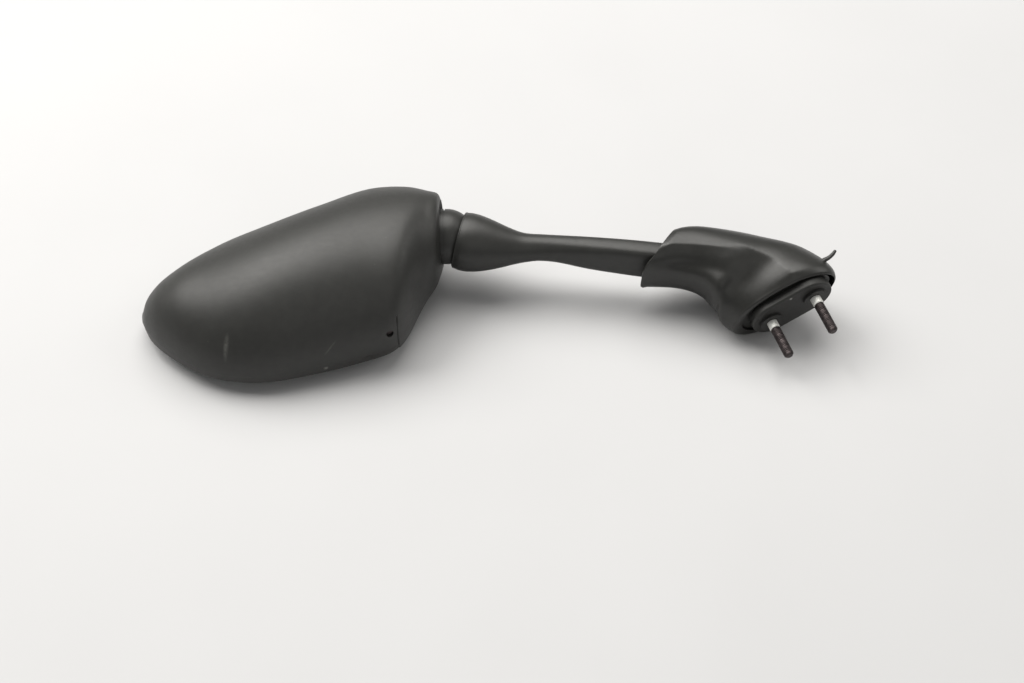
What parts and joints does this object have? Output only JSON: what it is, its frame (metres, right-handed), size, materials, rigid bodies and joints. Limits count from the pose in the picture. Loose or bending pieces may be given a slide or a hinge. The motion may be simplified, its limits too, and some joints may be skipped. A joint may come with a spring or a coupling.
{
  "type": "motorcycle mirror",
  "caption": "Fairing mirror for a motorcycle: teardrop head on a ball joint, cast stem folding in a rubber boot, and a studded base pad.",
  "frame": {"origin": "centre of the mount, on the face of the base pad, midway between the two studs", "axes": "+X from the head towards the base, +Y away from the viewer of the picture, +Z out of the back of the head; the glass faces -Z"},
  "size_m": [0.4061, 0.1315, 0.0659],
  "materials": {
    "shell_plastic": "matte black moulded plastic with a fine grain",
    "bezel_plastic": "matte black moulded plastic",
    "mirror": "silvered glass",
    "foam": "black foam pad",
    "black_casting": "die casting with a satin black coat",
    "boot_rubber": "satin black rubber",
    "pad_rubber": "matte black rubber",
    "stud_steel": "steel, bright plain shank and black oxide thread",
    "plated_steel": "zinc plated steel",
    "spring_steel": "oiled spring steel",
    "bronze": "sintered bronze",
    "acetal": "black acetal",
    "nylon": "natural nylon"
  },
  "bodies": {
    "base": {"base_pad": "pad_rubber", "base_bracket": "black_casting", "mounting_studs": "stud_steel", "fold_bolt": "plated_steel", "fold_thrust_washer": "nylon", "fold_cap_washer": "plated_steel", "fold_disc_springs": "spring_steel", "fold_nut": "plated_steel", "rubber_boot": "boot_rubber"},
    "stem": {"stem": "black_casting", "fold_bush": "bronze", "cup_liner": "acetal", "swivel_stud": "plated_steel", "swivel_spring": "spring_steel", "spring_washer": "plated_steel", "swivel_nut": "plated_steel"},
    "seat": {"spring_seat": "plated_steel"},
    "slipper": {"seat_slipper": "nylon"},
    "head": {"swivel_bracket": "black_casting", "bracket_screws": "plated_steel", "head_shell": "shell_plastic", "glass_bezel": "bezel_plastic", "mirror_glass": "mirror", "glass_backing": "foam", "bezel_screw": "plated_steel"}
  },
  "joints": [
    {"name": "fold", "type": "hinge", "parent": "base", "child": "stem", "pos_m": [-0.00883, 0.02425, 0.00317], "axis": [-0.3395, 0.9327, 0.1219], "range_deg": [-40, 40], "deforming": ["rubber_boot"]},
    {"name": "head_twist", "type": "hinge", "parent": "stem", "child": "seat", "pos_m": [-0.20194, 0.04916, 0.00895], "axis": [0.9642, -0.2288, -0.134], "range_deg": [-20, 20]},
    {"name": "head_tip", "type": "hinge", "parent": "seat", "child": "slipper", "pos_m": [-0.20194, 0.04916, 0.00895], "axis": [0.2309, 0.973, 0], "range_deg": [-12, 12]},
    {"name": "head_swing", "type": "hinge", "parent": "slipper", "child": "head", "pos_m": [-0.20194, 0.04916, 0.00895], "axis": [-0.1304, 0.0309, -0.991], "range_deg": [-12, 12]}
  ]
}
